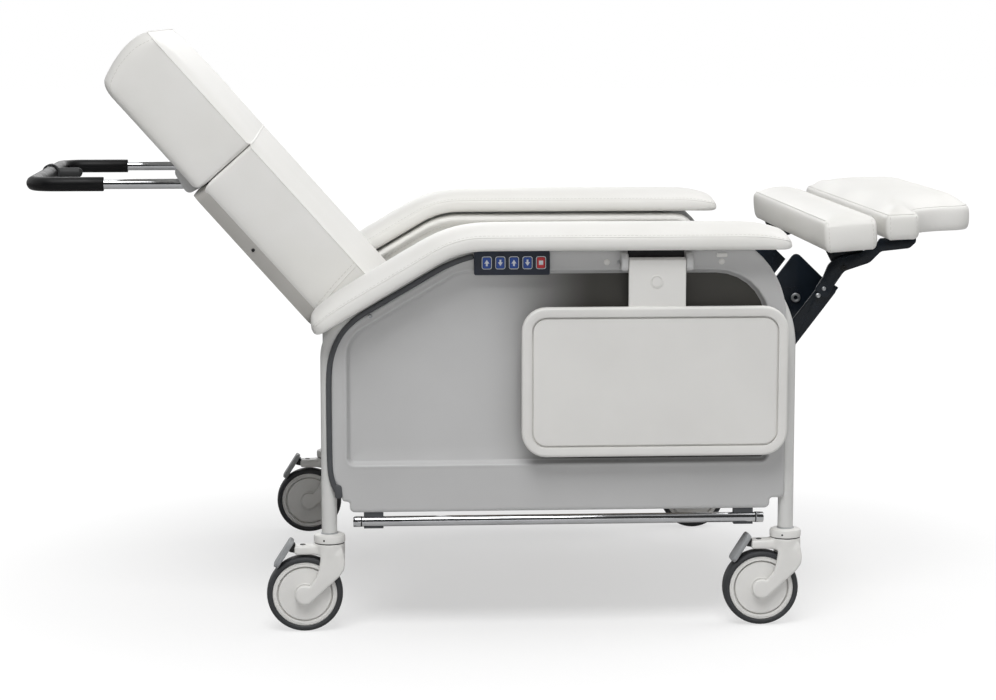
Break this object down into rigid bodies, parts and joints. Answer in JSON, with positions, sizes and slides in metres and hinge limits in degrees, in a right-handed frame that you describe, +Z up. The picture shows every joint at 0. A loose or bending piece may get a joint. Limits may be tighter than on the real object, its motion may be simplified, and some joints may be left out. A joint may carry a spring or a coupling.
{
  "type": "bariatric clinical recliner",
  "caption": "Wide powered treatment recliner on swivel casters, with a reclining back, folding legrest, side trays, accessory rails and a keypad in the side panel.",
  "frame": {"origin": "on the floor at the middle of the rectangle that the four legs make", "axes": "+X towards the feet, +Y to the occupant's left, +Z up"},
  "size_m": [1.5985, 0.955, 0.9818],
  "materials": {
    "upholstery": "satin",
    "panel_plastic": "satin",
    "frame_paint": "satin",
    "tray_plastic": "satin",
    "trim_rubber": "matte",
    "keypad_plastic": "satin",
    "key_blue": "satin",
    "key_red": "satin",
    "chrome": "polished",
    "grip_foam": "matte",
    "linkage_steel": "satin",
    "board_black": "matte",
    "caster_white": "gloss",
    "tyre": "matte",
    "pedal_grey": "satin",
    "steel": "satin",
    "rod_steel": "polished",
    "lever_plastic": "satin",
    "deck_board": "matte"
  },
  "bodies": {
    "base": {"rear_legs": "frame_paint", "front_legs": "frame_paint", "arm_rails": "frame_paint", "caster_heads": "steel", "side_panels": "panel_plastic", "panel_trims": "trim_rubber", "arm_pads": "upholstery", "inner_side_panels": "upholstery", "seat_frame": "frame_paint", "seat_frame_lugs": "frame_paint", "seat_deck": "deck_board", "seat_cushion": "upholstery", "tray_pins": "steel", "tray_bosses": "tray_plastic", "accessory_rails": "chrome", "rail_brackets": "frame_paint", "keypad_housing": "keypad_plastic", "back_actuator": "lever_plastic", "legrest_motor": "lever_plastic", "control_box": "lever_plastic"},
    "fork_rear_right": {"caster_fork_rear_right": "caster_white"},
    "wheel_rear_right": {"caster_wheel_rear_right": "caster_white", "tyre_rear_right": "tyre"},
    "pedal_rear_right": {"brake_pedal_rear_right": "pedal_grey"},
    "fork_rear_left": {"caster_fork_rear_left": "caster_white"},
    "wheel_rear_left": {"caster_wheel_rear_left": "caster_white", "tyre_rear_left": "tyre"},
    "pedal_rear_left": {"brake_pedal_rear_left": "pedal_grey"},
    "fork_front_right": {"caster_fork_front_right": "caster_white"},
    "wheel_front_right": {"caster_wheel_front_right": "caster_white", "tyre_front_right": "tyre"},
    "pedal_front_right": {"brake_pedal_front_right": "pedal_grey"},
    "fork_front_left": {"caster_fork_front_left": "caster_white"},
    "wheel_front_left": {"caster_wheel_front_left": "caster_white", "tyre_front_left": "tyre"},
    "pedal_front_left": {"brake_pedal_front_left": "pedal_grey"},
    "back": {"back_frame": "frame_paint", "back_shell": "panel_plastic", "lower_back_cushion": "upholstery", "head_cushion": "upholstery", "handle_brackets": "panel_plastic", "push_handle": "chrome", "push_grip": "grip_foam"},
    "release_lever": {"release_lever": "lever_plastic"},
    "actuator_rod": {"actuator_rod": "rod_steel"},
    "legrest": {"legrest_channels": "linkage_steel"},
    "footrest": {"foot_arms": "linkage_steel", "foot_board": "board_black", "foot_pad": "upholstery"},
    "calfrest": {"calf_bracket": "linkage_steel", "calf_board": "board_black", "calf_pad": "upholstery"},
    "tray_right": {"tray_right": "tray_plastic"},
    "tray_left": {"tray_left": "tray_plastic"},
    "key_1": {"control_key_1": "key_blue"},
    "key_2": {"control_key_2": "key_blue"},
    "key_3": {"control_key_3": "key_blue"},
    "key_4": {"control_key_4": "key_blue"},
    "key_5": {"control_key_5": "key_red"}
  },
  "joints": [
    {"name": "swivel_rear_right", "type": "hinge", "parent": "base", "child": "fork_rear_right", "pos_m": [-0.3775, -0.415, 0.15], "axis": [0, 0, 1], "continuous": true},
    {"name": "roll_rear_right", "type": "hinge", "parent": "fork_rear_right", "child": "wheel_rear_right", "pos_m": [-0.4185, -0.415, 0.0625], "axis": [0, 1, 0], "continuous": true},
    {"name": "brake_rear_right", "type": "hinge", "parent": "fork_rear_right", "child": "pedal_rear_right", "pos_m": [-0.4455, -0.415, 0.1377], "axis": [0, 1, 0], "range_deg": [0, 15]},
    {"name": "swivel_rear_left", "type": "hinge", "parent": "base", "child": "fork_rear_left", "pos_m": [-0.3775, 0.415, 0.15], "axis": [0, 0, 1], "continuous": true},
    {"name": "roll_rear_left", "type": "hinge", "parent": "fork_rear_left", "child": "wheel_rear_left", "pos_m": [-0.4185, 0.415, 0.0625], "axis": [0, 1, 0], "continuous": true},
    {"name": "brake_rear_left", "type": "hinge", "parent": "fork_rear_left", "child": "pedal_rear_left", "pos_m": [-0.4455, 0.415, 0.1377], "axis": [0, 1, 0], "range_deg": [0, 15]},
    {"name": "swivel_front_right", "type": "hinge", "parent": "base", "child": "fork_front_right", "pos_m": [0.3775, -0.415, 0.15], "axis": [0, 0, 1], "continuous": true},
    {"name": "roll_front_right", "type": "hinge", "parent": "fork_front_right", "child": "wheel_front_right", "pos_m": [0.3365, -0.415, 0.0625], "axis": [0, 1, 0], "continuous": true},
    {"name": "brake_front_right", "type": "hinge", "parent": "fork_front_right", "child": "pedal_front_right", "pos_m": [0.3095, -0.415, 0.1377], "axis": [0, 1, 0], "range_deg": [0, 15]},
    {"name": "swivel_front_left", "type": "hinge", "parent": "base", "child": "fork_front_left", "pos_m": [0.3775, 0.415, 0.15], "axis": [0, 0, 1], "continuous": true},
    {"name": "roll_front_left", "type": "hinge", "parent": "fork_front_left", "child": "wheel_front_left", "pos_m": [0.3365, 0.415, 0.0625], "axis": [0, 1, 0], "continuous": true},
    {"name": "brake_front_left", "type": "hinge", "parent": "fork_front_left", "child": "pedal_front_left", "pos_m": [0.3095, 0.415, 0.1377], "axis": [0, 1, 0], "range_deg": [0, 15]},
    {"name": "back_recline", "type": "hinge", "parent": "base", "child": "back", "pos_m": [-0.225, 0, 0.455], "axis": [0, 1, 0], "range_deg": [-22, 28]},
    {"name": "lever_pull", "type": "hinge", "parent": "back", "child": "release_lever", "pos_m": [-0.868, 0.06, 0.726], "axis": [0, -1, 0], "range_deg": [0, 15], "stiffness_Nm_per_rad": 2, "springref_deg": -5.73},
    {"name": "back_drive", "type": "slide", "parent": "base", "child": "actuator_rod", "axis": [1, 0, 0], "range_m": [-0.06, 0.048]},
    {"name": "legrest_lift", "type": "hinge", "parent": "base", "child": "legrest", "pos_m": [0.4, 0, 0.47], "axis": [0, 1, 0], "range_deg": [0, 128]},
    {"name": "footrest_fold", "type": "hinge", "parent": "legrest", "child": "footrest", "pos_m": [0.45695, 0, 0.54503], "axis": [0, 1, 0], "range_deg": [-49.5, 0]},
    {"name": "calfrest_tilt", "type": "hinge", "parent": "footrest", "child": "calfrest", "pos_m": [0.486, 0, 0.585], "axis": [0, 1, 0], "range_deg": [0, 3.5]},
    {"name": "tray_right_fold", "type": "hinge", "parent": "base", "child": "tray_right", "pos_m": [0.156, -0.449, 0.607], "axis": [1, 0, 0], "range_deg": [-90, 0]},
    {"name": "tray_left_fold", "type": "hinge", "parent": "base", "child": "tray_left", "pos_m": [0.156, 0.449, 0.607], "axis": [1, 0, 0], "range_deg": [0, 90]},
    {"name": "key_1_press", "type": "slide", "parent": "base", "child": "key_1", "axis": [0, 1, 0], "range_m": [0, 0.001], "stiffness_N_per_m": 400, "springref_m": -0.0005},
    {"name": "key_2_press", "type": "slide", "parent": "base", "child": "key_2", "axis": [0, 1, 0], "range_m": [0, 0.001], "stiffness_N_per_m": 400, "springref_m": -0.0005},
    {"name": "key_3_press", "type": "slide", "parent": "base", "child": "key_3", "axis": [0, 1, 0], "range_m": [0, 0.001], "stiffness_N_per_m": 400, "springref_m": -0.0005},
    {"name": "key_4_press", "type": "slide", "parent": "base", "child": "key_4", "axis": [0, 1, 0], "range_m": [0, 0.001], "stiffness_N_per_m": 400, "springref_m": -0.0005},
    {"name": "key_5_press", "type": "slide", "parent": "base", "child": "key_5", "axis": [0, 1, 0], "range_m": [0, 0.001], "stiffness_N_per_m": 400, "springref_m": -0.0005}
  ],
  "couplings": [
    {"joint": "back_drive", "follows": "back_recline", "m_per_rad": -0.118},
    {"joint": "footrest_fold", "follows": "legrest_lift", "ratio": -0.3828},
    {"joint": "calfrest_tilt", "follows": "legrest_lift", "ratio": 0.025}
  ]
}
